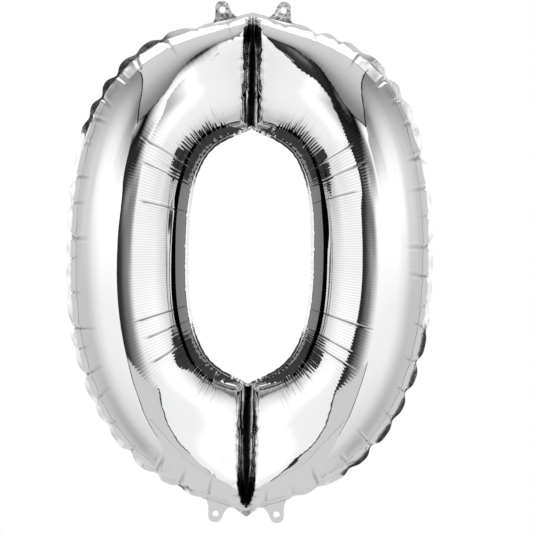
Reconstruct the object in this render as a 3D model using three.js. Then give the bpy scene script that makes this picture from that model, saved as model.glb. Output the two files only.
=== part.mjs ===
// An inflated foil number balloon shaped like a zero, as an assembly of separate pieces, in millimetres.
//
// Frame: +X right, +Z up, -Y is the front. The origin is the middle of the balloon, on the plane where
// its two films meet.
//
// Two metallised films are welded together along a flat margin round the outside and round the hole. Gas
// pushes them apart into a ring-shaped tube, which buckles into a crease at the top and at the bottom, so
// the outline has a slight peak at both. Four ears with a punched hole stand out of the outer margin.
// Between the lower two, the films are left open as a pair of lips. Gas goes in between the lips, through
// a gap in the outer weld, and up a flat sleeve of two thin films, which its pressure then presses shut.
import * as THREE from "three";

const TOTAL_HEIGHT = 889; // over the ears

// Outlines, at the free edge of the margins: superellipses with a peak at the top and at the bottom.
const OUTER = {
  halfWidth: 312,
  halfHeight: 408,
  topPower: 2.6,
  bottomPower: 2.25,
  peak: 17,
  peakReach: 110,
  middle: 0,
};
const HOLE = {
  halfWidth: 104,
  halfHeight: 201,
  topPower: 2.8,
  bottomPower: 2.6,
  peak: 16,
  peakReach: 60,
  middle: 10,
};
const OUTER_MARGIN = 6;
const INNER_MARGIN = 5;

// Films. The real ones are a few hundredths of a millimetre thick.
const FILM = 0.6;
const GAP = 0.3;
const WELD = 0.9;

// The tube. Its film is this wide across the tube when flat, and narrower towards the top and bottom.
const FLAT_WIDTH = { sides: 309, ends: 250, taper: 5 };
const CREASE_SHARE = 0.6; // how much of the depth a crease takes away
const CREASE_WIDTH = 32;

// Ears, in a frame whose X runs from the ear's hole towards the middle of the balloon.
const EAR = {
  x: 52,
  outerRoot: -18,
  innerRoot: 27,
  tipRadius: 12.5,
  holeFromTip: 15,
  holeRadius: 5.2,
  thickness: 1.2,
  rootGap: 1,
};

const LIP = { halfWidth: 19, height: 8, thickness: 0.5, fromMiddle: 0.3, rootGap: 1 };

// The valve sleeve. It hangs on the films just inside the outer weld.
const VALVE = { halfWidth: 14.6, sealWidth: 2.4, film: 0.4, fromMiddle: 0.15, foot: 8, length: 106 };

// Mesh fineness.
const STATIONS = 88; // round the ring
const CROWDING = 0.85; // how much closer the stations stand at the creases than at the sides
const ARC_STEPS = 9; // across the tube
const CURVE_STEPS = 6;

const FILM_INSIDE = WELD / 2 + GAP; // distance of a margin's inner face from the middle plane
const FILM_OUTSIDE = FILM_INSIDE + FILM;

const foil = { color: 0xd9dadc, roughness: 0.08, metalness: 1 };
const sealant = { color: 0xc4c6c9, roughness: 0.35, metalness: 0.6 };
const clearFilm = { color: 0xe6ebee, roughness: 0.3, metalness: 0 };

/** A point of an outline at the angle `turn` from +Z towards +X, moved inwards by `inset`. */
function outlinePoint(outline, turn, inset) {
  const power = Math.cos(turn) > 0 ? outline.topPower : outline.bottomPower;
  const spread = (value, size) => Math.sign(value) * Math.abs(value) ** (2 / power) * size;
  const x = spread(Math.sin(turn), outline.halfWidth - inset);
  const z = spread(Math.cos(turn), outline.halfHeight - inset);
  const peak = outline.peak * Math.max(0, 1 - Math.abs(x) / outline.peakReach) ** 2;
  return new THREE.Vector2(x, z + Math.sign(z) * peak + outline.middle);
}

/** Angle of station `i`, with the stations crowded together at the top and the bottom. */
function stationAngle(i) {
  const even = (2 * Math.PI * i) / STATIONS;
  return even - (CROWDING * Math.sin(2 * even)) / 2;
}

/** What a section of the ring needs: the weld lines' places, the width between them, the half tube's
 *  depth, and the film's thickness measured along Y, which is more where a crease's wall is steep. */
function station(turn) {
  const outer = outlinePoint(OUTER, turn, OUTER_MARGIN);
  const inner = outlinePoint(HOLE, turn, -INNER_MARGIN);
  const width = outer.distanceTo(inner);
  const across = inner.clone().sub(outer).divideScalar(width);
  const rise = Math.min(1, Math.abs(outer.y) / OUTER.halfHeight) ** FLAT_WIDTH.taper;
  const flat = FLAT_WIDTH.sides + (FLAT_WIDTH.ends - FLAT_WIDTH.sides) * rise;
  // Half an ellipse as long as the flat film is wide.
  const round = Math.sqrt(2 * (flat / Math.PI) ** 2 - (width / 2) ** 2);
  const x = (outer.x + inner.x) / 2 / CREASE_WIDTH;
  const dip = CREASE_SHARE * Math.exp(-(x ** 2));
  const steepness = (2 * Math.abs(x) * dip * round) / CREASE_WIDTH;
  return { outer, across, width, depth: round * (1 - dip), wall: FILM * Math.hypot(1, steepness) };
}

/** A solid swept round the ring through the stations at `turns`. `profile` turns a station into its
 *  section, a loop of [u, y] where u runs from the outer weld line towards the hole. */
function ringSolid(turns, profile, closed) {
  const sections = turns.map((turn) => {
    const at = station(turn);
    return profile(at).map(([u, y]) => [at.outer.x + at.across.x * u, y, at.outer.y + at.across.y * u]);
  });
  const loop = sections[0].length;
  const spans = closed ? sections.length : sections.length - 1;
  const index = [];
  for (let i = 0; i < spans; i++) {
    const here = i * loop;
    const next = ((i + 1) % sections.length) * loop;
    for (let k = 0; k < loop; k++) {
      const after = (k + 1) % loop;
      index.push(here + k, here + after, next + after, here + k, next + after, next + k);
    }
  }
  if (!closed) {
    const last = spans * loop;
    for (let k = 1; k < loop - 1; k++) {
      index.push(0, k + 1, k, last, last + k, last + k + 1);
    }
  }
  const geometry = new THREE.BufferGeometry();
  geometry.setAttribute("position", new THREE.Float32BufferAttribute(sections.flat(2), 3));
  geometry.setIndex(index);
  geometry.computeVertexNormals();
  return geometry;
}

const allTurns = Array.from({ length: STATIONS }, (_, i) => stationAngle(i));

/** One film's section, which is the margins and the half tube between them. `side` is -1 at the front. */
function filmProfile({ width, depth, wall }, side) {
  const half = width / 2;
  const face = (base, inset, height) => {
    const arc = Array.from({ length: ARC_STEPS + 1 }, (_, k) => {
      const angle = (Math.PI * k) / ARC_STEPS;
      return [half - (half - inset) * Math.cos(angle), side * (base + height * Math.sin(angle))];
    });
    return [[-OUTER_MARGIN, side * base], ...arc, [width + INNER_MARGIN, side * base]];
  };
  const outside = face(FILM_OUTSIDE, 0, depth);
  const inside = face(FILM_INSIDE, FILM, depth + FILM - wall);
  const loop = [...outside, ...inside.reverse()];
  return side < 0 ? loop : loop.reverse();
}

function panel(side) {
  return ringSolid(allTurns, (at) => filmProfile(at, side), true);
}

/** The section of a flat band between the margins. */
function weldProfile(from, to) {
  return [
    [from, -WELD / 2],
    [to, -WELD / 2],
    [to, WELD / 2],
    [from, WELD / 2],
  ];
}

/** The outer weld leaves a gap at the bottom as wide as the valve sleeve. */
function outerWeld() {
  const channel = VALVE.halfWidth + VALVE.sealWidth;
  const turns = allTurns.filter((turn) => {
    const point = outlinePoint(OUTER, turn, 0);
    return point.y > 0 || Math.abs(point.x) > channel;
  });
  const start = turns.findIndex((turn) => turn > Math.PI);
  const fromGap = [...turns.slice(start), ...turns.slice(0, start)];
  return ringSolid(fromGap, () => weldProfile(-OUTER_MARGIN, -GAP), false);
}

function innerWeld() {
  return ringSolid(allTurns, ({ width }) => weldProfile(width + GAP, width + INNER_MARGIN), true);
}

/** A flat plate of the given outline in the XZ plane, from y = `front` to y = `back`. */
function plate(shape, front, back) {
  const options = { depth: back - front, bevelEnabled: false, curveSegments: CURVE_STEPS };
  const geometry = new THREE.ExtrudeGeometry(shape, options);
  geometry.rotateX(Math.PI / 2);
  geometry.translate(0, back, 0);
  return geometry;
}

/** Height and slope of the outer outline above x = EAR.x, at the top or at the bottom. */
function earRoot(power) {
  const { halfWidth, halfHeight, peak, peakReach } = OUTER;
  const height = (x) => {
    const dome = halfHeight * (1 - (x / halfWidth) ** power) ** (1 / power);
    return dome + peak * (1 - x / peakReach) ** 2;
  };
  return { height: height(EAR.x) + EAR.rootGap, slope: height(EAR.x - 0.5) - height(EAR.x + 0.5) };
}

/** An ear: steep on its outer side and flared on the other, on a root line as steep as the outline. */
function ear(root, right, up) {
  const { outerRoot, innerRoot, tipRadius, holeFromTip, holeRadius, thickness } = EAR;
  const tip = TOTAL_HEIGHT / 2 - root.height;
  const point = (x, z) => new THREE.Vector2(right * (EAR.x - x), up * (root.height + z));
  const bend = (shape, control, end) => shape.quadraticCurveTo(...control, ...end);
  const shape = new THREE.Shape([point(innerRoot, root.slope * innerRoot)]);
  shape.lineTo(...point(outerRoot, root.slope * outerRoot));
  bend(shape, point(-tipRadius, 0), point(-tipRadius, (tip - tipRadius) / 2));
  shape.lineTo(...point(-tipRadius, tip - tipRadius));
  bend(shape, point(-tipRadius, tip), point(0, tip));
  bend(shape, point(tipRadius * 0.7, tip), point(tipRadius, tip - tipRadius));
  bend(shape, point(tipRadius + 4, (tip - tipRadius) / 2), point(innerRoot, root.slope * innerRoot));
  const hole = new THREE.Path();
  const centre = point(0, tip - holeFromTip);
  hole.absarc(centre.x, centre.y, holeRadius, 0, 2 * Math.PI, false);
  shape.holes.push(hole);
  return plate(shape, -thickness / 2, thickness / 2);
}

/** A lip of the neck: the film's free end below the outer weld, cut to a blunt point. */
function lip(side) {
  const { halfWidth, height, thickness, fromMiddle, rootGap } = LIP;
  const root = -OUTER.halfHeight - OUTER.peak - rootGap;
  const shape = new THREE.Shape();
  shape.moveTo(-halfWidth, root);
  shape.quadraticCurveTo(-halfWidth * 0.45, root - height * 0.45, -halfWidth * 0.2, root - height * 0.9);
  shape.quadraticCurveTo(0, root - height * 1.1, halfWidth * 0.2, root - height * 0.9);
  shape.quadraticCurveTo(halfWidth * 0.45, root - height * 0.45, halfWidth, root);
  shape.closePath();
  const faces = [side * fromMiddle, side * (fromMiddle + thickness)];
  return plate(shape, Math.min(...faces), Math.max(...faces));
}

/** An upright strip of the valve sleeve between two values of x and two of y. */
function sleeveStrip([left, right], [front, back]) {
  const foot = -OUTER.halfHeight - OUTER.peak + OUTER_MARGIN + VALVE.foot;
  const geometry = new THREE.BoxGeometry(right - left, back - front, VALVE.length);
  geometry.translate((left + right) / 2, (front + back) / 2, foot + VALVE.length / 2);
  return geometry;
}

const balloon = new THREE.Group();

function add(name, geometry, look) {
  const mesh = new THREE.Mesh(geometry, new THREE.MeshStandardMaterial(look));
  mesh.name = name;
  balloon.add(mesh);
}

add("front_panel", panel(-1), foil);
add("back_panel", panel(1), foil);
add("outer_weld", outerWeld(), sealant);
add("inner_weld", innerWeld(), sealant);

for (const [name, right] of [["left", -1], ["right", 1]]) {
  add(`tab_top_${name}`, ear(earRoot(OUTER.topPower), right, 1), foil);
  add(`tab_bottom_${name}`, ear(earRoot(OUTER.bottomPower), right, -1), foil);
}

add("neck_lip_front", lip(-1), foil);
add("neck_lip_back", lip(1), foil);

const { halfWidth, sealWidth, film, fromMiddle } = VALVE;
const sleeveFace = fromMiddle + film;
add("valve_film_front", sleeveStrip([-halfWidth, halfWidth], [-sleeveFace, -fromMiddle]), clearFilm);
add("valve_film_back", sleeveStrip([-halfWidth, halfWidth], [fromMiddle, sleeveFace]), clearFilm);
const seal = [halfWidth + GAP, halfWidth + sealWidth];
add("valve_side_seal_left", sleeveStrip([-seal[1], -seal[0]], [-sleeveFace, sleeveFace]), clearFilm);
add("valve_side_seal_right", sleeveStrip(seal, [-sleeveFace, sleeveFace]), clearFilm);

export default balloon;
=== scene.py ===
"""Foil number balloon: the inflated film, its welded seams, the hanging tabs, the neck and the valve.

The film is inflated here. Its grid runs round the ring (stations) and across the tube (rows). Each edge of
the grid keeps its length while gas pushes outwards. Then the pleats that gather along the seams are pressed
in. Everything is in metres: +X is right, +Z is up and -Y is the front.
"""
from math import cos, pi, radians, sin, sqrt

import bpy
import numpy as np
from mathutils import Matrix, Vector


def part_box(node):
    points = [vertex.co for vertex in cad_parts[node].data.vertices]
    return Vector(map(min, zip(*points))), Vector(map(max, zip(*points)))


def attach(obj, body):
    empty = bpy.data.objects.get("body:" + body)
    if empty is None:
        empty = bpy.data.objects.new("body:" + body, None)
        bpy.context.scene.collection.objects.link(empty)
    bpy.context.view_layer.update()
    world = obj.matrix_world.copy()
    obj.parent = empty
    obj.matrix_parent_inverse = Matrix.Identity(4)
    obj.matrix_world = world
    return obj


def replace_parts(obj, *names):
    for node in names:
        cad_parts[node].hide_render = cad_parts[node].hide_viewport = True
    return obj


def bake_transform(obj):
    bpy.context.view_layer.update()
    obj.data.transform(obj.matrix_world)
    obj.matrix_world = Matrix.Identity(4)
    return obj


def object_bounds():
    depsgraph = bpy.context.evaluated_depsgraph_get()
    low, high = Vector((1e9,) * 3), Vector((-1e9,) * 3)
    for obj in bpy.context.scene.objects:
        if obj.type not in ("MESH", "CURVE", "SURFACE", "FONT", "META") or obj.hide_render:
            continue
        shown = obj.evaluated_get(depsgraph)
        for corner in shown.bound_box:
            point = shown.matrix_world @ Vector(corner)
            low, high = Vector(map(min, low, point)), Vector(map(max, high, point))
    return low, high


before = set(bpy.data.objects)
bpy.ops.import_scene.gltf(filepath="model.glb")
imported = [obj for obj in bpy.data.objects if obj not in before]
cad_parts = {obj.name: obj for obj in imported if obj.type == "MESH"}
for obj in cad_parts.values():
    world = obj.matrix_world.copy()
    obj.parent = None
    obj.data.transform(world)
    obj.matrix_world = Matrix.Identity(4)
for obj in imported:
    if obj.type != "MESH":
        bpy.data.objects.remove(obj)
cad_low, cad_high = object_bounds()

# ---------------- driving sizes
TOTAL_HEIGHT = cad_high[2] - cad_low[2]
PANEL_HALF_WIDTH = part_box("front_panel")[1][0]
OUTER_MARGIN = 0.006
INNER_MARGIN = 0.005
FLANGE = 0.0078  # the outer margin at the middle of a scallop
SEAM_THICKNESS = 0.0006
WELD_OUT = dict(half_width=PANEL_HALF_WIDTH - OUTER_MARGIN, half_height=0.402, top=2.6, bottom=2.25,
                peak=0.017, reach=0.110, middle=0.0)
WELD_IN = dict(half_width=0.109, half_height=0.206, top=2.8, bottom=2.6,
               peak=0.016, reach=0.060, middle=0.010)
FLAT_SIDES = 0.309  # the film's width across the tube, at the sides and at the two ends
FLAT_ENDS = 0.250
CREASE_WIDTH = 0.0150
CREASE_DEPTH = 0.86
CREASE_FLOOR = 0.0085  # half the width of the flat floor of a crease
CORE_WIDTH = 0.0078  # half the width of the black shade painted on its floor
LEAN_REACH = 0.105  # beside a crease the tube is fuller towards its outer seam, out to about here
ARM_HALF = 0.110  # the hole's straight sides run this far up and down from its middle
END_HALF = 0.030  # and the peak at each of its ends runs this far to each side
STATIONS = 1248
ROWS = 80
SEED = 11


# ---------------- outlines
def outline(o, count=20000):
    """A closed superellipse with peaked ends, in even steps from the top towards +X, and its length."""
    turn = np.linspace(0, 2 * pi, count + 1)
    s, c = np.sin(turn), np.cos(turn)
    power = np.where(c > 0, o["top"], o["bottom"])
    x = np.sign(s) * np.abs(s) ** (2 / power) * o["half_width"]
    z = np.sign(c) * np.abs(c) ** (2 / power) * o["half_height"]
    z += np.sign(z) * o["peak"] * np.maximum(0, 1 - np.abs(x) / o["reach"]) ** 2 + o["middle"]
    length = np.r_[0, np.cumsum(np.hypot(np.diff(x), np.diff(z)))]
    even = np.linspace(0, length[-1], 4001)
    return np.stack([np.interp(even, length, x), np.interp(even, length, z)]), length[-1]


def along(curve, share):
    """Points of a closed curve at shares of its length."""
    n = curve.shape[1] - 1
    at = (share % 1) * n
    return np.stack([np.interp(at, np.arange(n + 1), row) for row in curve])


def opposite(outer, hole, lean=0.55, coarse=160):
    """How far the hole's point opposite a point of the outer seam runs ahead of it, in shares of length."""
    share = np.arange(coarse) / coarse
    p = along(outer, share)
    near = ((hole[:, None, :-1] - p[:, :, None]) ** 2).sum(0).argmin(1) / (hole.shape[1] - 1)
    near[0] = 0
    ahead = lean * (np.unwrap(near * 2 * pi) / (2 * pi) - share)
    blur = np.exp(-0.5 * (np.arange(-9, 10) / 3) ** 2)
    ahead = np.convolve(np.r_[ahead[-9:], ahead, ahead[:9]], blur / blur.sum(), "valid")
    return lambda q: np.interp(q % 1, np.r_[share, 1], np.r_[ahead, ahead[0]])


def length_of(step):
    return np.sqrt((step**2).sum(0))


def inwards(curve):
    """Unit normals of a closed clockwise curve, pointing to its middle."""
    run = np.roll(curve, -1, 1) - np.roll(curve, 1, 1)
    run /= np.hypot(*run) + 1e-12
    return np.stack([run[1], -run[0]])


def ramp(value, run):
    """Rises from 0 to 1 as value goes from 0 to run."""
    return np.clip(value / run, 0, 1)


def tube_depth(outer_z, chord):
    """Half depth of the tube: half an ellipse as long as the film is wide."""
    rise = ramp(np.abs(outer_z), 0.42) ** 5
    flat = FLAT_SIDES + (FLAT_ENDS - FLAT_SIDES) * rise
    return np.sqrt(np.maximum(2 * (flat / pi) ** 2 - (chord / 2) ** 2, 0.02**2))


def taper(w):
    """How wide a crease is at share w of the way across the tube: it closes towards the outer seam."""
    return 0.35 + 0.65 * ramp(w, 0.3)


def uncreased(x, w):
    """0 on the floor of a crease, 1 outside it."""
    return 1 - CREASE_DEPTH * np.exp(-((x / (CREASE_WIDTH * taper(w))) ** 8))


class Grid:
    """The inflated front film without pleats: n stations round the ring, and m + 1 rows from the outer seam
    to the hole."""

    def __init__(self, n, m):
        self.n, self.m = n, m
        self.place_stations()
        self.shape_tube()

    def place_stations(self):
        """Spreads the stations evenly over the tube's crest, and partly over the outer seam."""
        outer, self.outer_length = outline(WELD_OUT)
        hole, self.hole_length = outline(WELD_IN)
        ahead = opposite(outer, hole)
        share = np.linspace(0, 1, 8001)
        o, h = along(outer, share), along(hole, share + ahead(share))
        middle = (o + h) / 2
        depth = tube_depth(o[1], np.hypot(*(o - h))) * uncreased(middle[0], 0.5)
        crest = length_of(np.diff(np.stack([*middle, depth]), axis=1))
        run = np.r_[0, np.cumsum(0.6 * crest + 0.4 * length_of(np.diff(o, axis=1)))]
        half_run = np.interp(0.5, share, run)
        step = np.arange(self.n // 2) / (self.n // 2)
        down = np.interp(step * half_run, run, share)
        up = np.interp(half_run + step * (run[-1] - half_run), run, share)
        s = np.r_[down, up]
        self.outer, self.hole = along(outer, s), along(hole, s + ahead(s))
        self.outer_at = s * self.outer_length
        self.hole_at = ((s + ahead(s)) % 1) * self.hole_length
        self.middle = (self.outer + self.hole) / 2

    def shape_tube(self):
        """The tube's points, how near x = 0 they may come, and how far they lean beside a crease."""
        across = pi * np.arange(self.m + 1)[None] / self.m
        w = (1 - np.cos(across)) / 2
        x = self.outer[0][:, None] * (1 - w) + self.hole[0][:, None] * w
        z = self.outer[1][:, None] * (1 - w) + self.hole[1][:, None] * w
        chord = np.hypot(*(self.outer - self.hole))
        depth = tube_depth(self.outer[1], chord)[:, None] * uncreased(x, w)
        self.points = np.stack([x, -depth * np.sin(across), z])
        self.wall = np.clip(np.abs(x), 0.0005, CREASE_FLOOR * taper(w))
        near = np.exp(-((self.middle[0] / LEAN_REACH) ** 2))[:, None]
        boxy = np.sqrt(np.maximum(1 - np.abs(2 * w - 1) ** (2 + 3 * near), 0)) * (1 - 0.72 * near * w)
        self.lean = -depth * (boxy / boxy.max(1, keepdims=True) - np.sin(across))

    def beside(self, x, z):
        """Where along the outer seam the station nearest a point lies."""
        return self.outer_at[np.argmin((self.middle[0] - x) ** 2 + (self.middle[1] - z) ** 2)]


def arcs(points):
    """Distance of every grid point from the outer seam and from the hole's, over the film."""
    step = length_of(points[:, :, 1:] - points[:, :, :-1])
    from_outer = np.concatenate([np.zeros((step.shape[0], 1)), np.cumsum(step, 1)], 1)
    return from_outer, from_outer[:, -1:] - from_outer


# ---------------- pleats
def places(rng, total, gap, keep):
    """Places along a seam, a random gap apart."""
    found, s = [], rng.uniform(0, gap[1])
    while s < total:
        if keep(s):
            found.append(s)
        s += rng.uniform(*gap)
    return found


def around(at, centre, total):
    """How far places along a closed line of this total length lie from a centre."""
    return (at - centre + total / 2) % total - total / 2


def bell(at, centre, total, width):
    return np.exp(-0.5 * (around(at, centre, total) / width) ** 2)


class Pleats:
    """Where the film is gathered: wide pleats on the outer seam, small ones on the hole's corners and arms.

    Each pleat is its place along the seam, the extra film in it, and how far it reaches from the seam.
    """

    def __init__(self, rng, grid):
        order = np.argsort(grid.hole_at)
        hole_at = grid.hole_at[order]
        hole_x = lambda s: abs(np.interp(s, hole_at, grid.hole[0][order]))
        hole_z = lambda s: abs(np.interp(s, hole_at, grid.hole[1][order]) - WELD_IN["middle"])
        outer_x = lambda s: abs(np.interp(s, grid.outer_at, grid.outer[0]))
        seam = places(rng, grid.outer_length, (0.040, 0.062), lambda s: outer_x(s) > 0.028)
        self.outer = [(s, rng.uniform(0.0015, 0.0035), rng.uniform(0.020, 0.050)) for s in seam]
        corner = lambda s: hole_z(s) > ARM_HALF and hole_x(s) > END_HALF
        seam = places(rng, grid.hole_length, (0.010, 0.018), corner)
        self.corner = [(s, rng.uniform(0.0010, 0.0025), rng.uniform(0.015, 0.050)) for s in seam]
        seam = places(rng, grid.hole_length, (0.030, 0.060), lambda s: hole_z(s) <= ARM_HALF)
        self.arm = [(s, rng.uniform(0.0005, 0.0012), rng.uniform(0.010, 0.030)) for s in seam]


# ---------------- inflating the film
def hold_edge(a, b, length, share=1.0):
    """Moves both ends of each edge until it has its own length."""
    step = b - a
    now = length_of(step)
    step *= 0.5 * share * (now - length) / np.maximum(now, 1e-7)
    a += step
    b -= step


class Film:
    """The grid's edges and diagonals, each with the length it has in the flat film."""

    def __init__(self, points, extra, extra_across):
        ahead = np.roll(points, -1, 1)
        step, down = ahead - points, points[:, :, 1:] - points[:, :, :-1]
        self.round = length_of(step) + extra
        self.across = length_of(down) * (1 + extra_across)[:, None]
        grow = self.round / length_of(step)
        step = step[:, :, :-1] * (grow[:, :-1] + grow[:, 1:]) / 2
        self.falling = length_of(step + np.roll(down, -1, 1))
        self.rising = length_of(step - down)

    def hold(self, x):
        """One pass over all edges, first from the even stations and then from the odd ones."""
        hold_edge(x[:, :, :-1:2], x[:, :, 1::2], self.across[:, 0::2])
        hold_edge(x[:, :, 1:-1:2], x[:, :, 2::2], self.across[:, 1::2])
        for shift in (0, 1):
            x = np.roll(x, -shift, 1)
            here, there = x[:, 0::2], x[:, 1::2]
            hold_edge(here, there, self.round[shift::2])
            hold_edge(here[:, :, :-1], there[:, :, 1:], self.falling[shift::2], 0.5)
            hold_edge(there[:, :, :-1], here[:, :, 1:], self.rising[shift::2], 0.5)
        return np.roll(x, 1, 1)


def outward(points):
    """Area normals of the grid, pointing out of the tube."""
    round_ = (np.roll(points, -1, 1) - np.roll(points, 1, 1)) / 2
    across = np.gradient(points, axis=2)
    return np.cross(across, round_, axis=0)


def stiffen(x, k):
    """Smooths the sharpest bends, both ways."""
    bend = np.roll(x, 1, 1) + np.roll(x, -1, 1) - 2 * x
    out = x - k * (np.roll(bend, 1, 1) + np.roll(bend, -1, 1) - 2 * bend)
    bend = x[:, :, 2:] + x[:, :, :-2] - 2 * x[:, :, 1:-1]
    out[:, :, 2:-2] -= k * (bend[:, :, 2:] + bend[:, :, :-2] - 2 * bend[:, :, 1:-1])
    return out


def resample(field, n, m):
    """A field of the grid at another number of stations and rows, by cubic interpolation."""
    def cubic(a, at, wrap):
        size = a.shape[1]
        base = np.floor(at).astype(int)
        t = (at - base)[None, :, None]
        pick = lambda k: a[:, (base + k) % size if wrap else np.clip(base + k, 0, size - 1)]
        p0, p1, p2, p3 = pick(-1), pick(0), pick(1), pick(2)
        return p1 + t / 2 * (p2 - p0 + t * (2 * p0 - 5 * p1 + 4 * p2 - p3 + t * (3 * (p1 - p2) + p3 - p0)))

    finer = cubic(field, np.arange(n) * field.shape[1] / n, True)
    across = np.linspace(0, field.shape[2] - 1, m + 1)
    return cubic(finer.transpose(0, 2, 1), across, False).transpose(0, 2, 1)


# A pleat's width, its first dent and how much wider that is, the width of its pull on the seam, the most
# extra film that one pleat takes, and how far that pulls the seam in.
OUTER_PLEAT = dict(width=0.0035, dent=0.002, spread=1.2, pull_width=0.008, most=0.0035, pull=0.0025)
HOLE_PLEAT = dict(width=0.0025, dent=0.001, spread=1.0, pull_width=0.004, most=0.0025, pull=0.0004)
CREASE_EXTRA_ROUND = 0.02  # extra film at the two creases, as shares of its length
CREASE_EXTRA_ACROSS = 0.003


def gather(extra, dent, curve, at, total, away, found, kind):
    """Adds each pleat of one seam to the extra film round the ring and to the first dents. Gives the seam's
    pull, from 0 to 1."""
    pull = np.zeros(at.size)
    step = length_of(np.roll(curve, -1, 1) - curve)
    width = max(kind["width"], step.max() / 2.5)
    for s, film, reach in found:
        fade = np.maximum(0, 1 - away / reach)
        share = bell(at + step / 2, s, total, width) * step / (width * sqrt(2 * pi))
        extra += film * share[:, None] * fade
        dent += kind["dent"] * bell(at, s, total, width * kind["spread"])[:, None] * fade
        pull = np.maximum(pull, bell(at, s, total, kind["pull_width"]) * film / kind["most"])
    return pull


def gathered(grid, pleats):
    """What the pleats and the creases do to the film: the extra film round the ring, a first dent at each
    pleat, the extra film across the tube, and how far the outer seam and the hole's are pulled in."""
    from_outer, from_hole = arcs(grid.points)
    extra, dent = np.zeros((grid.n, grid.m + 1)), np.zeros((grid.n, grid.m + 1))
    pull_outer = gather(extra, dent, grid.outer, grid.outer_at, grid.outer_length, from_outer,
                        pleats.outer, OUTER_PLEAT)
    pull_hole = gather(extra, dent, grid.hole, grid.hole_at, grid.hole_length, from_hole,
                       pleats.corner + pleats.arm, HOLE_PLEAT)
    crease = np.exp(-((grid.middle[0] / 0.022) ** 4))
    step = length_of(np.roll(grid.outer, -1, 1) - grid.outer)
    across = np.sin(pi * np.arange(grid.m + 1) / grid.m)
    extra += CREASE_EXTRA_ROUND * (crease * step)[:, None] * across
    pull_outer, pull_hole = OUTER_PLEAT["pull"] * pull_outer, HOLE_PLEAT["pull"] * pull_hole
    return extra, dent, CREASE_EXTRA_ACROSS * crease, pull_outer, pull_hole


def settle(x, grid, film, outer, hole, steps, push):
    """Presses the film out, while its edges keep their length and each half stays on its side."""
    side = np.sign(grid.middle[0])
    side[[0, grid.n // 2]] = 0
    side = side[:, None]
    area = length_of(outward(grid.points)) + 1e-9
    speed = np.zeros_like(x)
    for _ in range(steps):
        before = x.copy()
        x = film.hold(x + speed * 0.96 + outward(x) / area * push)
        x = stiffen(x, 0.004)
        x[0, :, 0], x[2, :, 0] = outer
        x[0, :, -1], x[2, :, -1] = hole
        x[1, :, 1:-1] = np.minimum(x[1, :, 1:-1], -0.0004)
        x[1, :, [0, -1]] = 0
        over = (x[0] * side < grid.wall) & (side != 0)
        x[0] = np.where(over, grid.wall * side, x[0])
        speed = np.clip(x - before, -0.001, 0.001)
    return x


def inflate(rng, levels):
    """Lets gas press the film out, on a coarse grid and then on finer ones."""
    x, pleats = None, None
    for n, m, steps, push in levels:
        grid = Grid(n, m)
        pleats = pleats or Pleats(rng, grid)
        extra, dent, extra_across, pull_outer, pull_hole = gathered(grid, pleats)
        film = Film(grid.points, extra, extra_across)
        if x is None:
            x = grid.points.copy()
            x[1] += dent
        else:
            x = resample(x, n, m)
        x[:, :, 1:-1] += rng.normal(0, 0.0001, x[:, :, 1:-1].shape)
        outer = grid.outer + inwards(grid.outer) * pull_outer
        hole = grid.hole - inwards(grid.hole) * pull_hole
        x = settle(x, grid, film, outer, hole, steps, push)
    return x, pleats


# ---------------- pressing in the sharp folds
def groove(away, width):
    """A sharp fold with a soft swelling on each side of it: 1 at the fold, below 0 beside it."""
    r = np.abs(away) / width
    return np.exp(-r) - 0.35 * np.exp(-0.5 * ((r - 2.6) / 1.1) ** 2)


class Folds:
    """The pressed folds: how deep the film sinks, and the shade painted into the colour along the bottom of
    each fold.
    """

    def __init__(self, shape):
        self.sink, self.dark = np.zeros(shape), np.zeros(shape)

    def add(self, away, width, depth, window, dark, line=0.0011):
        self.sink += depth * groove(away, width) * window
        # painted shade: a dark line along the bottom of the fold, painted into the film's colour
        self.dark += dark * np.exp(-0.5 * (away / line) ** 2) * window


def soften(x, share, passes):
    """Evens the film out, apart from its edges, by a share that may differ from point to point."""
    for _ in range(passes):
        round_ = (np.roll(x, 1, 1) + np.roll(x, -1, 1))[:, :, 1:-1] / 2
        across = (x[:, :, 2:] + x[:, :, :-2]) / 2
        x[:, :, 1:-1] += share[:, 1:-1] * (0.7 * round_ + 0.3 * across - x[:, :, 1:-1])
    return x


def pulled_tight(x):
    """1 on the broad middle of the tube, where the film is smooth, 0 at the seams and the creases."""
    from_outer, from_hole = arcs(x)
    between = ramp(from_outer - 0.030, 0.03) * ramp(from_hole - 0.055, 0.03)
    return between * ramp(np.abs(x[0]) - 0.024, 0.02)


def press(x, rng, pleats):
    """Presses pleats, fine folds and ripples into the film. Returns it, its grid and the shade painted
    along its folds.
    """
    grid = Grid(x.shape[1], x.shape[2] - 1)
    x = soften(x, 0.6 * np.exp(-((x[0] / 0.021) ** 6)), 4)
    x = soften(x, 0.6 * pulled_tight(x), 70)
    x[1] += grid.lean
    from_outer, from_hole = arcs(x)
    share = from_outer / from_outer[:, -1:]
    folds = Folds(share.shape)

    seam_pleats(folds, grid, from_outer, from_hole, rng, pleats)
    combs(folds, grid, from_hole, rng)
    long_folds(folds, grid, share, rng)
    crease_notches(folds, grid, x, from_outer, rng)
    crease_core(folds, grid, x, share, rng)
    corrugation(folds, grid, share, rng)
    sink = folds.sink + streaks(from_outer, rng)
    normal = outward(x)
    normal /= length_of(normal) + 1e-12
    x = x - normal * sink
    x[1] = np.minimum(x[1], 0)
    return x, grid, np.clip(folds.dark, 0, 1)


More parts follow.
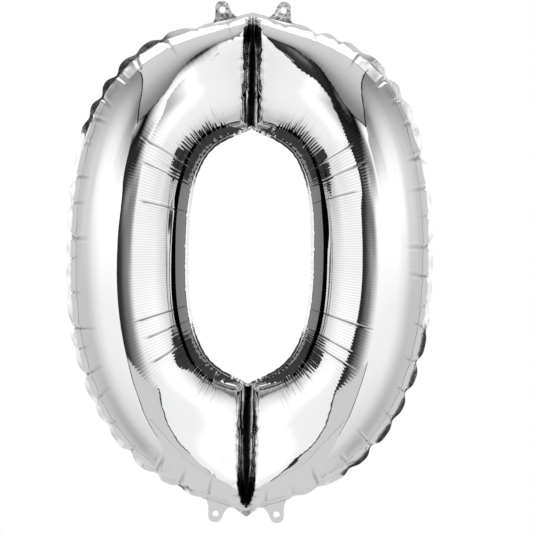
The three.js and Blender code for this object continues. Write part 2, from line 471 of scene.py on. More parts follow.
def seam_pleats(folds, grid, from_outer, from_hole, rng, pleats):
    """The sharp bottoms of the pleats, which run from the seams into the film at a slant, with shade
    painted along them.
    """
    for s, film, reach in pleats.outer:
        slant = rng.normal(0, 0.08) * from_outer
        away = around(grid.outer_at[:, None] + slant, s, grid.outer_length)
        window = np.clip(1.3 - from_outer / (reach + 0.025), 0, 1) * ramp(from_outer, 0.004)
        folds.add(away, 0.0024, 0.0040 * film / OUTER_PLEAT["most"], window, rng.uniform(0.6, 1.0), 0.0014)
    for s, film, reach in pleats.corner:
        slant = rng.normal(0, 0.08) * from_hole
        away = around(grid.hole_at[:, None] + slant, s, grid.hole_length)
        window = np.clip(1 - from_hole / (reach * 1.5), 0, 1) * ramp(from_hole - 0.004, 0.004)
        folds.add(away, 0.0012, 0.0007 * film / HOLE_PLEAT["most"], window, rng.uniform(0.1, 0.5), 0.0006)


def corner_share(grid):
    """1 where the hole's outline turns between an arm and an end, 0 elsewhere."""
    z = np.abs(grid.hole[1] - WELD_IN["middle"])
    return ramp(z - 0.100, 0.025) * ramp(np.abs(grid.hole[0]) - END_HALF, 0.02)


def combs(folds, grid, from_hole, rng):
    """Fine parallel folds, like a comb, where the film is crowded at the hole's corners, each with a line
    of painted shade.
    """
    corner = corner_share(grid)
    s = 0.0
    while s < grid.hole_length:
        centre, reach = 0.060 + rng.normal(0, 0.008), rng.uniform(0.006, 0.018)
        window = np.exp(-0.5 * ((from_hole - centre) / reach) ** 2) * corner[:, None]
        away = around(grid.hole_at[:, None], s, grid.hole_length)
        depth = rng.uniform(0.0001, 0.0004)
        folds.add(away, 0.0008, depth, window, rng.uniform(0.1, 0.7), 0.0005)
        s += rng.uniform(0.0024, 0.0048)


LONG_FOLD_HEIGHTS = (0.205, 0.170, 0.118, -0.105, -0.150, -0.185)


def long_folds(folds, grid, share, rng):
    """A few thin straight folds that cross the inner half of the tube, at each corner of the hole, each
    with a line of painted shade.
    """
    for side in (-1, 1):
        for z in LONG_FOLD_HEIGHTS:
            x = side * (0.205 - 0.25 * max(0, abs(z) - 0.12))
            at = grid.beside(x, z + rng.normal(0, 0.008))
            start = rng.uniform(0.46, 0.58)
            window = ramp(share - start, 0.04) * ramp(0.95 - share, 0.04)
            slant = rng.normal(0, 0.006) * (share - 0.5)
            away = around(grid.outer_at[:, None] + slant, at, grid.outer_length)
            depth = rng.uniform(0.0002, 0.0005)
            folds.add(away, 0.0016, depth, window, rng.uniform(0.6, 0.9), 0.0010)


RIPPLE_PITCH = 0.0036
RIPPLE_DEPTH = 0.000045


def corrugation(folds, grid, share, rng):
    """Close ripples across the inner half of the tube, where the film is pressed together lengthwise, with
    shade painted into their troughs.
    """
    z = np.abs(grid.middle[1] - WELD_IN["middle"])
    arm = ramp(0.24 - z, 0.05)[:, None]
    drift = np.cumsum(rng.normal(0, 0.02, grid.n))
    drift -= np.linspace(0, drift[-1], grid.n)
    wave = np.cos(2 * pi * grid.hole_at / RIPPLE_PITCH + drift)[:, None]
    window = ramp(share - 0.46, 0.06) * ramp(0.90 - share, 0.1)
    folds.sink += RIPPLE_DEPTH * wave * window * arm
    # painted shade, darkest in the ripples' troughs
    folds.dark += 0.11 * (1 + wave) * window * arm


def streaks(from_outer, rng):
    """Faint ridges that run along the tube, as film that is pulled tight lengthwise has."""
    sink = np.zeros(from_outer.shape)
    turn = np.arange(from_outer.shape[0]) / from_outer.shape[0] * 2 * pi
    from_top = np.minimum(turn, 2 * pi - turn)
    strength = 0.5 + 2.8 * np.exp(-(((from_top - 1.25) / 0.3) ** 2))[:, None]
    for _ in range(14):
        drift = 0.006 * np.sin(turn * rng.integers(2, 7) + rng.uniform(0, 2 * pi))
        swell = 0.5 + 0.5 * np.sin(turn * rng.integers(2, 9) + rng.uniform(0, 2 * pi))
        rate = 2 * pi / rng.uniform(0.009, 0.028)
        wave = np.sin((from_outer + drift[:, None]) * rate + rng.uniform(0, 2 * pi))
        sink += rng.uniform(0.00001, 0.00004) * strength * wave * swell[:, None]
    return sink


def near_station(grid, middle, half):
    """1 at the stations within half of a middle one, 0 elsewhere."""
    near = np.zeros((grid.n, 1))
    near[(np.arange(-half, half) + middle) % grid.n] = 1
    return near


def crease_notches(folds, grid, x, from_outer, rng):
    """Short folds across the shoulders of the two creases, each with a line of painted shade."""
    shoulder = np.exp(-0.5 * ((np.abs(x[0]) - 0.014) / 0.005) ** 2)
    for middle in (0, grid.n // 2):
        near = near_station(grid, middle, 150)
        for side in (-1, 1):
            window = shoulder * near * (np.sign(x[0]) == side)
            s = 0.028
            while s < 0.215:
                depth = rng.uniform(0.0005, 0.0016)
                folds.add(from_outer - s, 0.0028, depth, window, rng.uniform(0.2, 0.6), 0.0009)
                s += rng.uniform(0.008, 0.030)


def crease_core(folds, grid, x, share, rng):
    """Painted shade on the floor of each crease, where the film lies in deep shade between the two lobes.
    """
    for middle in (0, grid.n // 2):
        near = near_station(grid, middle, 60)
        shift, spread = 0.0008 * np.cumsum(rng.normal(0, 0.25, (2, share.shape[1])), 1)
        start, reach = (0.02, 0.28) if middle == 0 else (-0.10, 0.32)
        open_ = np.clip((share - start) / reach, 0.05, 1)
        half = (CORE_WIDTH + np.clip(spread, -0.0012, 0.0012)) * open_
        # painted shade: the crease's floor is painted near black
        folds.dark += np.exp(-(((x[0] - shift) / half) ** 8)) * near


# ---------------- meshes
def make_object(name, points, faces):
    mesh = bpy.data.meshes.new(name)
    mesh.from_pydata(points.tolist() if hasattr(points, "tolist") else points, [], faces)
    mesh.validate()
    mesh.update()
    mesh.polygons.foreach_set("use_smooth", [True] * len(mesh.polygons))
    thing = bpy.data.objects.new(name, mesh)
    bpy.context.scene.collection.objects.link(thing)
    return thing


def ring_faces(n, m, flip=False):
    """Quads of a grid of n stations, closed round the ring, and m + 1 rows."""
    i, j = np.meshgrid(np.arange(n), np.arange(m), indexing="ij")
    here, ahead = i * (m + 1) + j, (i + 1) % n * (m + 1) + j
    quads = np.stack([here, here + 1, ahead + 1, ahead], -1).reshape(-1, 4)
    return (quads[:, ::-1] if flip else quads).tolist()


def film_piece(name, x, dark, mirrored):
    points = x.transpose(1, 2, 0).reshape(-1, 3).copy()
    if mirrored:
        points[:, 1] *= -1
    thing = make_object(name, points, ring_faces(x.shape[1], x.shape[2] - 1, flip=not mirrored))
    # painted_fold_shade holds how much shade is painted into the film's colour at each point
    thing.data.attributes.new("painted_fold_shade", "FLOAT", "POINT").data.foreach_set("value", dark.ravel())
    return thing


def closed_tube(name, loops):
    """A mesh closed both ways: stations round it, each with its points in a loop."""
    n, rows = loops.shape[:2]
    i, j = np.meshgrid(np.arange(n), np.arange(rows), indexing="ij")
    here, ahead, following = i * rows, (i + 1) % n * rows, (j + 1) % rows
    quads = np.stack([here + j, here + following, ahead + following, ahead + j], -1)
    return make_object(name, loops.reshape(-1, 3), quads.reshape(-1, 4).tolist())


def seam_piece(name, line, away, width, tilt, tuck=0.0008):
    """A closed strip along a seam: it starts just inside the weld line and ends at the trimmed edge."""
    front, back = [], []
    thick = SEAM_THICKNESS / 2
    for share in (0, 0.02, 0.25, 0.5, 0.75, 0.97, 1):
        out = -tuck + (width + tuck) * share
        rise = np.sin(tilt) * np.maximum(out, 0)
        flat = line + away * (out * np.cos(tilt))
        front.append(np.stack([flat[0], rise - thick, flat[1]], -1))
        back.append(np.stack([flat[0], rise + thick, flat[1]], -1))
    return closed_tube(name, np.stack(front + back[::-1], 1))


def lens(pull, low):
    """Width of a seam's trimmed margin: full between the pleats and narrow at each of them."""
    return 1 - (1 - low) * np.clip(pull, 0, 1)


def smooth_noise(rng, n, waves):
    """A closed wavy line of n values about 0, with the given number of waves round it."""
    turn = np.arange(n) / n * 2 * pi
    out = np.zeros(n)
    for _ in range(6):
        wave = np.sin(turn * rng.integers(waves // 2, waves * 2) + rng.uniform(0, 2 * pi))
        out += wave * rng.uniform(0.4, 1)
    return out / 2


# Where the outer margin lies flat: the middle and half the width of each stretch, as angles from the top.
FLAT_PARTS = ((-0.64, 0.36), (0.69, 0.24), (2.32, 0.46), (-2.88, 0.08))


def seam_tilt(rng, grid):
    """How far the outer margin turns back, and where it lies nearly flat.

    At the upper left it lies so that it mirrors the dark just below the ceiling card.
    """
    x, z = grid.outer
    turn = np.arctan2(x, z)
    flat = np.zeros(grid.n)
    for middle, half in FLAT_PARTS:
        flat = np.maximum(flat, ramp(half - np.abs(turn - middle), 0.08))
    tilt = radians(24) + radians(9) * smooth_noise(rng, grid.n, 30)
    below_ceiling = 0.30 * np.arctan(CEILING_HEIGHT - z)
    near_flat = np.where(z > 0, np.where(x > 0, radians(3.5), below_ceiling), radians(-8.5))
    near_flat += radians(1.5) * smooth_noise(rng, grid.n, 16)
    return tilt * (1 - flat) + near_flat * flat, flat


# ---------------- the flat flaps: tabs and lips
def bezier(start, control, end, count):
    t = np.linspace(0, 1, count + 1)[1:, None]
    start, control, end = np.array(start), np.array(control), np.array(end)
    return ((1 - t) ** 2 * start + 2 * t * (1 - t) * control + t**2 * end).tolist()


TAB_X = 0.052
TAB_INNER_ROOT = 0.027  # how far its root runs towards the middle of the balloon, and away from it
TAB_OUTER_ROOT = 0.018
TIP_RADIUS = 0.0125
HOLE_FROM_TIP = 0.015
HOLE_RADIUS = 0.0052


def tab_outline(slope, tip):
    """The tab's edge in its own frame: u away from the middle of the balloon, v up from its root."""
    root = lambda u: (u, -slope * u - 0.0015)
    inner, outer = root(-TAB_INNER_ROOT), root(TAB_OUTER_ROOT)
    shoulder = tip - TIP_RADIUS
    edge = [inner, outer]
    edge += bezier(outer, (TIP_RADIUS, 0), (TIP_RADIUS, shoulder / 2), 6)
    edge += [(TIP_RADIUS, shoulder)]
    edge += bezier((TIP_RADIUS, shoulder), (TIP_RADIUS, tip), (0, tip), 8)
    edge += bezier((0, tip), (-TIP_RADIUS * 0.7, tip), (-TIP_RADIUS, shoulder), 8)
    edge += bezier((-TIP_RADIUS, shoulder), (-TIP_RADIUS - 0.004, shoulder / 2), inner, 8)
    return np.array(edge[:-1])


def even_edge(edge, count):
    """A closed outline in even steps."""
    closed = np.vstack([edge, edge[:1]])
    length = np.r_[0, np.cumsum(np.hypot(*np.diff(closed, axis=0).T))]
    at = np.linspace(0, length[-1], count, endpoint=False)
    return np.stack([np.interp(at, length, closed[:, k]) for k in (0, 1)], 1)


def flap(name, edge, hole, place, wave, thickness, rings=14):
    """A thin flap between its edge and a hole, closed all round. wave gives its rumpling at (u, v)."""
    angle = np.arctan2(edge[:, 1] - hole[1], edge[:, 0] - hole[0])
    rim = np.stack([hole[0] + HOLE_RADIUS * np.cos(angle), hole[1] + HOLE_RADIUS * np.sin(angle)], 1)
    t = (np.arange(rings + 1) / rings)[None, :, None]
    uv = rim[:, None] * (1 - t) + edge[:, None] * t
    lift = wave(uv[..., 0], uv[..., 1])
    near, far = place(uv, lift - thickness / 2), place(uv, lift + thickness / 2)
    return closed_tube(name, np.concatenate([near, far[:, ::-1]], 1))


def seam_top(o, x, margin):
    """Height of an outline's end at x, with its margin."""
    power = o["top"] if margin > 0 else o["bottom"]
    across = x / (o["half_width"] + abs(margin))
    dome = (o["half_height"] + abs(margin)) * (1 - across**power) ** (1 / power)
    return dome + o["peak"] * (1 - x / o["reach"]) ** 2


def rumple(rng, amount, grain):
    """A rumpled surface as a sum of creases in random directions."""
    ranges = ((0, 2 * pi), (0.5, 1.6), (0, 2 * pi), (0.3, 1))  # its turn, rate, phase and size
    creases = [[rng.uniform(*each) for each in ranges] for _ in range(9)]

    def wave(u, v):
        out = np.zeros(u.shape)
        for turn, rate, phase, size in creases:
            along_it = u * cos(turn) + v * sin(turn)
            out += size * np.abs(np.sin(along_it * (rate / grain) * pi + phase))
        return amount * (out - out.mean())

    return wave


def tab_root(up):
    """Height of a tab's root at its middle, and how steeply the seam falls away there."""
    height = lambda x: seam_top(WELD_OUT, x, up * OUTER_MARGIN)
    nearby = 0.0005
    slope = (height(TAB_X - nearby) - height(TAB_X + nearby)) / (2 * nearby)
    return height(TAB_X), slope


def add_tab(level, side, rng, material):
    """One tab: crumpled at the top of the balloon, where the cord was, and nearly flat at the bottom."""
    up, right = (1 if level == "top" else -1), (1 if side == "right" else -1)
    amount, grain, curl = (0.00028, 0.0115, 0.045) if level == "top" else (0.00012, 0.012, 0.2)
    root_z, slope = tab_root(up)
    tip = TOTAL_HEIGHT / 2 - root_z
    edge = even_edge(tab_outline(slope, tip), 120)
    hold = lambda v: ramp(v + 0.002, 0.008)

    def place(uv, lift):
        u, v = uv[..., 0], uv[..., 1]
        y = lift * hold(v + slope * u) + curl * np.maximum(v + slope * u, 0)
        return np.stack([right * (TAB_X + u), y, up * (root_z + v)], -1)

    name = f"tab_{level}_{side}"
    hole = np.array([0, tip - HOLE_FROM_TIP])
    thing = flap(f"{name}_film", edge, hole, place, rumple(rng, amount, grain), SEAM_THICKNESS * 0.8)
    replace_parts(fit(thing, material), name)
    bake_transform(thing)


FLAP_FILM = 0.0002  # half the thickness that a lip is given


def sheet_grid(columns, rows, first=-1):
    """u across a sheet, from first to 1, and v up it, from 0 to 1."""
    return np.linspace(first, 1, columns + 1)[:, None], np.linspace(0, 1, rows + 1)[None, :]


def thin_sheet(name, x, y, z, half_film):
    """A closed thin sheet, half_film to each side of a surface."""
    faces = [np.stack(np.broadcast_arrays(x, y + k * half_film, z), -1) for k in (-1, 1)]
    return closed_sheet(name, *faces)


def add_lip(side, rng, material):
    """A free end of the film below the neck, cut to a blunt point."""
    low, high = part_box(f"neck_lip_{side}")
    u, v = sheet_grid(60, 12)
    half, height = (high[0] - low[0]) / 2, high[2] - low[2]
    sign, phase = (-1, 1) if side == "front" else (1, 0)
    drop = height * (1 - np.abs(u) ** 1.25) * (1 + 0.05 * np.sin(9 * u + phase))
    root = 0.0010 + 0.0052 * np.abs(u)  # it follows the seam's edge, which rises to both sides
    x = half * u + 0 * v
    z = high[2] + root - drop * v
    y = sign * (0.00055 + 0.0058 * v * (1 - np.abs(u))) + rumple(rng, 0.00025, 0.010)(x, z) * v
    y = np.where(y * sign < 0.0002, sign * 0.0002, y)
    thing = thin_sheet(f"lip_{side}_film", x, y, z, FLAP_FILM)
    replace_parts(fit(thing, material), f"neck_lip_{side}")
    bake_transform(thing)


def closed_sheet(name, near, far):
    """Two open grids of the same size, joined round their edges into one closed thin sheet."""
    a, b = near.shape[0], near.shape[1]
    index = np.arange(a * b).reshape(a, b)
    quads = []
    for i in range(a - 1):
        for j in range(b - 1):
            q = [index[i, j], index[i, j + 1], index[i + 1, j + 1], index[i + 1, j]]
            quads.append(q[::-1])
            quads.append([k + a * b for k in q])
    rim = [*index[0, :-1], *index[:-1, -1], *index[-1, :0:-1], *index[:0:-1, 0]]
    for k, here in enumerate(rim):
        there = rim[(k + 1) % len(rim)]
        quads.append([here, there, there + a * b, here + a * b])
    points = np.concatenate([near.reshape(-1, 3), far.reshape(-1, 3)])
    return make_object(name, points, [[int(v) for v in q] for q in quads])


# ---------------- the valve sleeve
VALVE_FILM = 0.00005  # half the thickness that each valve film is given, and each side seal
VALVE_SEAL = 0.00022


def add_valve_film(side, material):
    """One film of the sleeve, rippled and a little bellied."""
    low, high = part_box(f"valve_film_{side}")
    u, v = sheet_grid(24, 80)
    x = (low[0] + high[0]) / 2 + (high[0] - low[0]) / 2 * u
    z = low[2] + (high[2] - low[2]) * v
    sign = -1 if side == "front" else 1
    belly = (1 - u**2) * np.sin(pi * v)
    ripple = 0.5 + 0.5 * np.sin(v * 46 + 3 * u + 2 * np.sin(9 * v))
    y = sign * (0.00025 + 0.0004 * belly + 0.0006 * ripple * belly)
    thing = thin_sheet(f"valve_{side}_sheet", x, y, z, VALVE_FILM)
    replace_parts(fit(thing, material, "valve_sleeve"), f"valve_film_{side}")


def add_valve_seal(side, material):
    """The heat seal that joins the two valve films along one edge."""
    low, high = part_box(f"valve_side_seal_{side}")
    u, v = sheet_grid(6, 90, first=0)
    x = low[0] + (high[0] - low[0]) * u
    z = low[2] + (high[2] - low[2]) * v
    y = 0.00004 * np.sin(v * 300) * np.sin(pi * u)
    thing = thin_sheet(f"valve_seal_{side}_strip", x, y, z, VALVE_SEAL)
    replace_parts(fit(thing, material, "valve_sleeve"), f"valve_side_seal_{side}")


# ---------------- materials
FOIL_COLOUR = (0.93, 0.935, 0.94, 1)
FOLD_SHADE_COLOUR = (0.006, 0.006, 0.006, 1)  # near black: shade painted into the film's colour at the bottom of a fold, where the film is closed on itself
WELD_COLOUR = (0.90, 0.905, 0.91, 1)
CLEAR_COLOUR = (0.93, 0.95, 0.96, 1)
FLOOR_COLOUR = (0.90, 0.90, 0.90, 1)


class Nodes:
    """Short ways to add and join shader nodes."""

    def __init__(self, tree):
        self.tree = tree
        tree.nodes.clear()

    def add(self, kind, **inputs):
        node = self.tree.nodes.new("ShaderNode" + kind)
        for name, value in inputs.items():
            if hasattr(node, name):
                setattr(node, name, value)
            else:
                self.put(node.inputs[name.replace("_", " ")], value)
        return node

    def put(self, socket, value):
        if isinstance(value, bpy.types.NodeSocket):
            self.tree.links.new(value, socket)
        else:
            socket.default_value = value

    def math(self, operation, a, b=0.0, clamp=False):
        node = self.add("Math", operation=operation, use_clamp=clamp)
        self.put(node.inputs[0], a)
        self.put(node.inputs[1], b)
        return node.outputs[0]

    def step(self, value, low, high, start=0.0, end=1.0):
        """Runs smoothly from start to end as value goes from low to high."""
        node = self.add("MapRange", interpolation_type="SMOOTHSTEP")
        for socket, number in zip(node.inputs, (value, low, high, start, end)):
            self.put(socket, number)
        return node.outputs[0]

    def band(self, value, low, high, soft):
        """1 between low and high, 0 outside."""
        rise = self.step(value, low - soft, low + soft)
        return self.times(rise, self.step(value, high - soft, high + soft, 1.0, 0.0))

    def mix(self, share, a, b):
        node = self.add("Mix", data_type="FLOAT")
        self.put(node.inputs[0], share)
        self.put(node.inputs[2], a)
        self.put(node.inputs[3], b)
        return node.outputs[0]

    def times(self, a, b):
        return self.math("MULTIPLY", a, b)

    def noise(self, scale, detail):
        place = self.add("TexCoord").outputs["Object"]
        return self.add("TexNoise", Vector=place, Scale=scale, Detail=detail).outputs["Fac"]

    def bump(self, strength, distance, height, under=None):
        """A relief from a texture's output, on top of another relief if there is one."""
        node = self.add("Bump", Strength=strength, Distance=distance, Height=height)
        if under is not None:
            self.put(node.inputs["Normal"], under)
        return node.outputs[0]


def new_material(name):
    material = bpy.data.materials.new(name)
    material.use_nodes = True
    return material, Nodes(material.node_tree)


def finish(n, shader, variation, low, high, normal=None):
    """Makes a shader the surface, with a roughness that varies between two values, and a relief."""
    n.put(shader.inputs["Roughness"], n.step(variation, 0.3, 0.7, low, high))
    if normal is not None:
        n.put(shader.inputs["Normal"], normal)
    n.put(n.add("OutputMaterial").inputs["Surface"], shader.outputs[0])


def foil(name, roughness, grain, wrinkle, paints_fold_shade=False):
    """Metallised film: a near mirror with fine wrinkles, and a slight change of roughness over it. With
    paints_fold_shade, shade is painted into its colour along the folds and creases.
    """
    material, n = new_material(name)
    grained = n.bump(grain, 0.00008, n.noise(420.0, 2.0))
    wrinkled = n.bump(wrinkle, 0.0006, n.noise(55.0, 2.0), grained)
    shader = n.add("BsdfPrincipled", Base_Color=FOIL_COLOUR, Metallic=1.0)
    if paints_fold_shade:
        # painted shade: the colour turns near black where painted_fold_shade is high, along fold bottoms
        # and creases
        tint = n.add("Mix", data_type="RGBA")
        n.put(tint.inputs[0], n.add("Attribute", attribute_name="painted_fold_shade").outputs["Fac"])
        n.put(tint.inputs[6], FOIL_COLOUR)
        n.put(tint.inputs[7], FOLD_SHADE_COLOUR)
        n.put(shader.inputs["Base Color"], tint.outputs[2])
    finish(n, shader, n.noise(9.0, 3.0), roughness * 0.75, roughness * 1.3, wrinkled)
    return material


def welded_foil(name):
    """The heat-sealed film: the sealing bar's fine knurl is pressed into it."""
    material, n = new_material(name)
    place = n.add("TexCoord").outputs["Object"]
    knurl = n.add("TexVoronoi", Vector=place, Scale=900.0)
    patch = n.noise(120.0, 4.0)
    knurled = n.bump(0.25, 0.0001, knurl.outputs["Distance"])
    shader = n.add("BsdfPrincipled", Base_Color=WELD_COLOUR, Metallic=1.0)
    finish(n, shader, patch, 0.06, 0.16, n.bump(0.35, 0.0006, patch, knurled))
    return material


def clear_film(name):
    """Thin clear polyethylene, a little hazy."""
    material, n = new_material(name)
    haze = n.noise(180.0, 3.0)
    shader = n.add("BsdfPrincipled", Base_Color=CLEAR_COLOUR, IOR=1.5, Alpha=0.5)
    shader.inputs["Transmission Weight"].default_value = 0.6
    finish(n, shader, haze, 0.12, 0.3, n.bump(0.3, 0.0002, haze))
    return material


def floor_material():
    material, n = new_material("pale_floor")
    shader = n.add("BsdfPrincipled", Base_Color=FLOOR_COLOUR, Emission_Strength=0.3)
    finish(n, shader, n.noise(3.0, 3.0), 0.6, 0.7)
    return material


# ---------------- studio
PANEL = 1.16
SLOT_LEFT = -16.5  # the dark slot round the camera: sharp on its left and soft on its right
SLOT_RIGHT = 14.5
CEILING_HALF = 0.40
CEILING_HEIGHT = 0.56
CARD_FRONT = -1.0
GROUND_HALF = 0.32
GROUND_HEIGHT = -0.70
FLOOR_HALF = 4.4
FLOOR_HEIGHT = -1.0


def shade(display):
    """Light that foil reflects as this display value."""
    return display**2.2 / 0.93


GROUND = shade(0.79)


class Studio(Nodes):
    """Nodes for the studio's light. Its directions are in degrees: side runs right from the camera, rise up
    from the horizon, away is the angle from the camera, and roll is how far round it from level."""

    def __init__(self, tree):
        super().__init__(tree)
        split = self.add("SeparateXYZ", Vector=self.add("TexCoord").outputs["Generated"])
        x, y, z = split.outputs
        ahead = self.times(y, -1.0)
        self.directions = {
            "side": self.math("ARCTAN2", x, ahead),
            "rise": self.math("ARCSINE", z),
            "away": self.math("ARCCOSINE", ahead),
            "roll": self.math("ARCTAN2", z, self.math("ABSOLUTE", x)),
        }

    def turn(self, direction, low, high, start=0.0, end=1.0):
        return self.step(self.directions[direction], radians(low), radians(high), start, end)

    def stripe(self, direction, low, high, soft):
        return self.band(self.directions[direction], radians(low), radians(high), radians(soft))


def room(n, panel):
    """The room round the panels: dimmer sides, a thin dark line where the back begins, a pale ground, white
    overhead, gloom above the camera, and a veil over the slot's surroundings."""
    light = n.mix(n.turn("away", 50, 95), panel, n.times(panel, 0.62))
    light = n.mix(n.turn("away", 90, 120), light, shade(0.76))
    light = n.mix(n.stripe("away", 122.2, 123.8, 0.5), light, shade(0.45))
    light = n.mix(n.turn("away", 123.5, 124.5), light, GROUND)
    light = n.mix(n.turn("rise", -58, -48, 1.0, 0.0), light, GROUND)
    light = n.mix(n.turn("rise", 44, 54), light, 0.93)
    gloom = n.times(n.turn("roll", 8, 58), n.turn("away", 18, 34))
    light = n.times(light, n.mix(gloom, 1.0, 0.25))
    overhead = n.times(n.turn("away", 98, 101), n.turn("roll", 38, 56))
    light = n.mix(overhead, light, 1.25)
    veil = n.times(n.stripe("side", -26, 26, 14), n.turn("rise", 3, 14))
    return n.times(light, n.mix(veil, 1.0, 0.42))


def slot_shade(n, panel):
    """The slot's darkness: lighter towards its right, darker above the camera, faint high on its left."""
    dark = n.turn("side", -14, 2, shade(0.20), shade(0.52))
    dark = n.mix(n.turn("rise", 2.5, 7.5), dark, shade(0.18))
    dark = n.mix(n.turn("rise", 9, 17), dark, shade(0.04))
    dark = n.mix(n.turn("side", -2, SLOT_RIGHT), dark, panel)
    faint = n.times(n.turn("rise", 14, 21), n.turn("side", SLOT_LEFT, -3, 0.7, 0.0))
    return n.mix(faint, dark, panel)


def studio_light():
    """Soft light from all round: two broad white panels in front, with a dark slot between them where the
    camera stands, a thin dark line beside it, and a white background."""
    world = bpy.data.worlds.new("studio")
    bpy.context.scene.world = world
    world.use_nodes = True
    n = Studio(world.node_tree)
    panel = n.times(n.turn("rise", -6, 5, 0.94, PANEL), n.turn("rise", -50, -6, 0.76, 1.0))
    light = room(n, panel)
    low_down = n.turn("rise", -11, -10, 1.0, 0.0)
    right_line = n.times(n.stripe("side", SLOT_RIGHT, SLOT_RIGHT + 1.5, 0.4), low_down)
    light = n.mix(right_line, light, shade(0.25))
    left_line = n.stripe("side", SLOT_LEFT - 1.5, SLOT_LEFT + 0.5, 0.4)
    light = n.mix(n.times(left_line, n.turn("rise", 13, 18, 1.0, 0.0)), light, shade(0.15))
    slot = n.stripe("side", SLOT_LEFT, SLOT_RIGHT, 0.3)
    light = n.mix(slot, light, n.mix(low_down, slot_shade(n, panel), GROUND))
    shown = n.mix(n.add("LightPath").outputs["Is Camera Ray"], light, 1.0)
    background = n.add("Background", Color=(1, 1, 1, 1))
    n.put(background.inputs["Strength"], shown)
    n.put(n.add("OutputWorld").inputs["Surface"], background.outputs[0])


def glow(name, level, end_level=None, start=0.0, end=0.0):
    """A card's own light: even, or changing to another level from start to end along y."""
    material, n = new_material(name)
    shader = n.add("Emission", Strength=level)
    if end_level is not None:
        split = n.add("SeparateXYZ", Vector=n.add("TexCoord").outputs["Object"])
        n.put(shader.inputs["Strength"], n.step(split.outputs[1], start, end, level, end_level))
    n.put(n.add("OutputMaterial").inputs["Surface"], shader.outputs[0])
    return material


def card(name, points, faces, *lights):
    """A studio card that only the foil sees."""
    thing = make_object(name, points, faces)
    for light in lights:
        thing.data.materials.append(light)
    thing.visible_camera = thing.visible_shadow = thing.visible_diffuse = False
    return thing


def strip_card(name, rows, half, light, edge_level):
    """A card of cross strips between rows of (y, z). The first strip is its dark edge."""
    points = [(x, y, z) for y, z in rows for x in (-half, half)]
    faces = [(2 * k, 2 * k + 1, 2 * k + 3, 2 * k + 2) for k in range(len(rows) - 1)]
    thing = card(name, points, faces, glow(f"{name}_edge", edge_level), light)
    for face in thing.data.polygons[1:]:
        face.material_index = 1


def ceiling_edge(name, sign):
    """The ceiling's dark side edge, wider towards the front."""
    points = []
    for y, wide in ((CARD_FRONT, 0.035), (-0.6, 0.016), (0.1, 0.003)):
        points += [(sign * x, y, CEILING_HEIGHT) for x in (CEILING_HALF, CEILING_HALF + wide)]
    card(name, points, [(0, 1, 3, 2), (2, 3, 5, 4)], glow(f"{name}_dark", shade(0.12)))


FLAG_HALF_WIDTH = 0.046
FLAG_HALF_HEIGHT = 0.150
FLAG_DEPTHS = (-0.083, -0.0805, -0.050, -0.024, 0.060)  # its rings, from its front rim to its back


def round_faces(count, ring, following):
    """The faces between two rings of points."""
    faces = []
    for i in range(count):
        j = (i + 1) % count
        faces.append((ring * count + i, ring * count + j, following * count + j, following * count + i))
    return faces


def hole_flag():
    """A dark tub inside the hole, so that the tube's inner walls don't mirror each other's lights: black at
    its front rim and grey further back, with a lip in front at each end of the hole."""
    count, middle = 64, WELD_IN["middle"]
    turn = np.linspace(0, 2 * pi, count, endpoint=False)
    x = FLAG_HALF_WIDTH * np.sign(np.sin(turn)) * np.abs(np.sin(turn)) ** 0.8
    z = FLAG_HALF_HEIGHT * np.sign(np.cos(turn)) * np.abs(np.cos(turn)) ** 0.8 + middle
    towards_end = ramp(np.abs(z - middle) - 0.108, 0.04)
    at_end = towards_end > 0
    front, back = FLAG_DEPTHS[0], FLAG_DEPTHS[-1]
    points = [(px, y, pz) for y in FLAG_DEPTHS for px, pz in zip(x, z)]
    points += [(2.3 * px, back, 1.42 * (pz - middle) + middle) for px, pz in zip(x, z)]
    points += [(px, front - 0.050 * out, pz) for px, pz, out in zip(x, z, towards_end)]
    only_ends = lambda faces: [face for face, end in zip(faces, at_end) if end]
    faces = round_faces(count, 0, 1) + round_faces(count, 2, 3) + only_ends(round_faces(count, 1, 2))
    faces += round_faces(count, 3, 4) + round_faces(count, 4, 5)
    faces.append(tuple(range(4 * count, 5 * count)))
    lip = only_ends(round_faces(count, 0, 6))
    levels = {"black": 0.04, "grey": 0.50, "lip": 0.24}
    lights = [glow(f"hole_flag_{name}", shade(display)) for name, display in levels.items()]
    thing = card("hole_flag", points, faces + lip, *lights)
    for face in thing.data.polygons[2 * count:]:
        in_lip = face.index >= len(faces)
        face.material_index = 2 if in_lip or abs(face.center[0]) < 0.034 else 1


def make_cards():
    """The cards that the foil mirrors: a ceiling with dark edges, a ground, and the flag in the hole."""
    ceiling = glow("ceiling_light", shade(0.48), shade(0.82), CARD_FRONT, -0.02)
    rows = [(y, CEILING_HEIGHT) for y in (CARD_FRONT, -0.97, -0.02)]
    strip_card("ceiling_card", rows, CEILING_HALF, ceiling, shade(0.12))
    ground = glow("ground_light", shade(0.80))
    rows = [(y, GROUND_HEIGHT) for y in (-0.95, -0.935, 0.5)]
    strip_card("ground_card", rows, GROUND_HALF, ground, shade(0.4))
    ceiling_edge("ceiling_edge_left", -1)
    ceiling_edge("ceiling_edge_right", 1)
    hole_flag()


def make_floor():
    """A pale floor well below the balloon, which the foil doesn't mirror."""
    steps = np.linspace(-FLOOR_HALF, FLOOR_HALF, 11)
    rows = len(steps)
    points = [(x, y, FLOOR_HEIGHT) for x in steps for y in steps]
    faces = []
    for i in range(rows - 1):
        for j in range(rows - 1):
            faces.append((i * rows + j, (i + 1) * rows + j, (i + 1) * rows + j + 1, i * rows + j + 1))
    floor = make_object("floor", points, faces)
    floor.data.materials.append(floor_material())
    floor.visible_glossy = False


CAMERA_DISTANCE = 4.0
PICTURE_WIDTH = 0.908  # what the camera sees across, at the balloon
CAMERA_RIGHT = 0.029
CAMERA_HEIGHT = -0.007
CAMERA_ROLL = 0.8  # in degrees: the balloon leans by as much


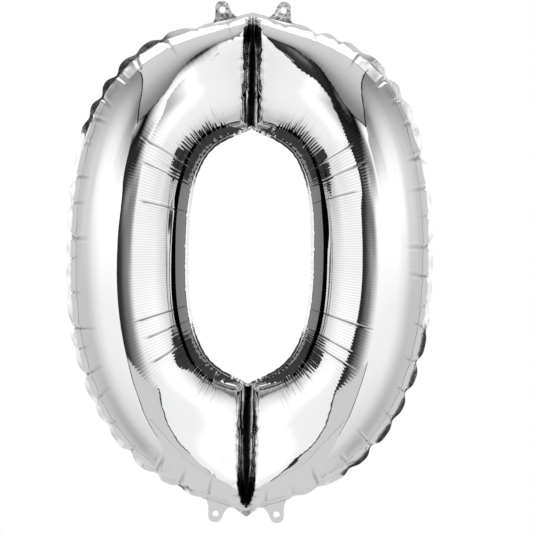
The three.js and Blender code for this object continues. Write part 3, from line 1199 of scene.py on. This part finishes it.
def make_camera():
    """In front of the balloon, level with its middle and turned a little."""
    data = bpy.data.cameras.new("camera")
    data.sensor_width = 36.0
    data.lens = data.sensor_width * CAMERA_DISTANCE / PICTURE_WIDTH
    camera = bpy.data.objects.new("camera", data)
    bpy.context.scene.collection.objects.link(camera)
    place = Matrix.Translation((CAMERA_RIGHT, -CAMERA_DISTANCE, CAMERA_HEIGHT))
    upright = Matrix.Rotation(radians(90), 4, "X")
    camera.matrix_world = place @ upright @ Matrix.Rotation(radians(CAMERA_ROLL), 4, "Z")
    bpy.context.scene.camera = camera


# ---------------- assembly
LEVELS = ((480, 32, 900, 2.5e-6), (960, 64, 700, 0.6e-6))  # stations, rows, steps and push of each grid
TAB_SEAM = (0.0475, 0.030)  # the middle and half the width of the seam that a tab stands on


def fit(thing, material, body=None):
    """Gives a piece its material and slot, and the body that it rides on, if it isn't blended."""
    thing.data.materials.clear()
    thing.data.materials.append(material)
    if body:
        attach(thing, body)
    return thing


def add_films(x, dark, material):
    """The front film, and the back film as its mirror image."""
    for side in ("front", "back"):
        thing = film_piece(f"{side}_film", x, dark, side == "back")
        fit(thing, material, "balloon")
        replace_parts(thing, f"{side}_panel")


def add_outer_seam(rng, grid, line, pull, material):
    """The outer margin: scalloped between the pleats, and of full width where a tab stands on it."""
    tilt, flat = seam_tilt(rng, grid)
    wider = 1 + np.where(line[1] > 0, 0.3, 0.0) * flat
    width = FLANGE * wider * lens(pull / OUTER_PLEAT["pull"], 0.2)
    middle, half = TAB_SEAM
    at_tab = ramp(half - np.abs(np.abs(line[0]) - middle), 0.006)
    width = width * (1 - at_tab) + (FLANGE + pull) * at_tab
    seam = seam_piece("outer_seam", line, -inwards(grid.outer), width, tilt)
    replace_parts(fit(seam, material, "balloon"), "outer_weld")


def add_inner_seam(rng, grid, line, pull, material):
    """The margin round the hole, rumpled at its two ends."""
    width = INNER_MARGIN * lens(pull / HOLE_PLEAT["pull"], 0.85)
    rumpled = np.exp(-((grid.hole[0] / 0.030) ** 4))
    tilt = radians(20) + radians(25) * smooth_noise(rng, grid.n, 60) * rumpled
    seam = seam_piece("inner_seam", line, inwards(grid.hole), width, tilt)
    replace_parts(fit(seam, material, "balloon"), "inner_weld")


def add_flaps_and_valve(rng, flap_film, clear):
    """The four tabs, the two neck lips, and the valve sleeve's two films with the seals between them."""
    for level in ("top", "bottom"):
        for side in ("left", "right"):
            add_tab(level, side, rng, flap_film)
    for side in ("front", "back"):
        add_lip(side, rng, flap_film)
        add_valve_film(side, clear)
    for side in ("left", "right"):
        add_valve_seal(side, clear)


def main():
    rng = np.random.default_rng(SEED)
    x, pleats = inflate(rng, LEVELS)
    x, grid, dark = press(resample(x, STATIONS, ROWS), rng, pleats)
    add_films(x, dark, foil("mirror_foil", 0.035, 0.05, 0.06, paints_fold_shade=True))
    _, _, _, pull_outer, pull_hole = gathered(grid, pleats)
    sealed = welded_foil("sealed_foil")
    add_outer_seam(rng, grid, x[[0, 2], :, 0], pull_outer, sealed)
    add_inner_seam(rng, grid, x[[0, 2], :, -1], pull_hole, sealed)
    add_flaps_and_valve(rng, foil("flap_foil", 0.10, 0.12, 0.3), clear_film("clear_film"))
    studio_light()
    make_cards()
    make_floor()
    make_camera()
    bpy.context.scene.view_settings.view_transform = "Standard"


main()
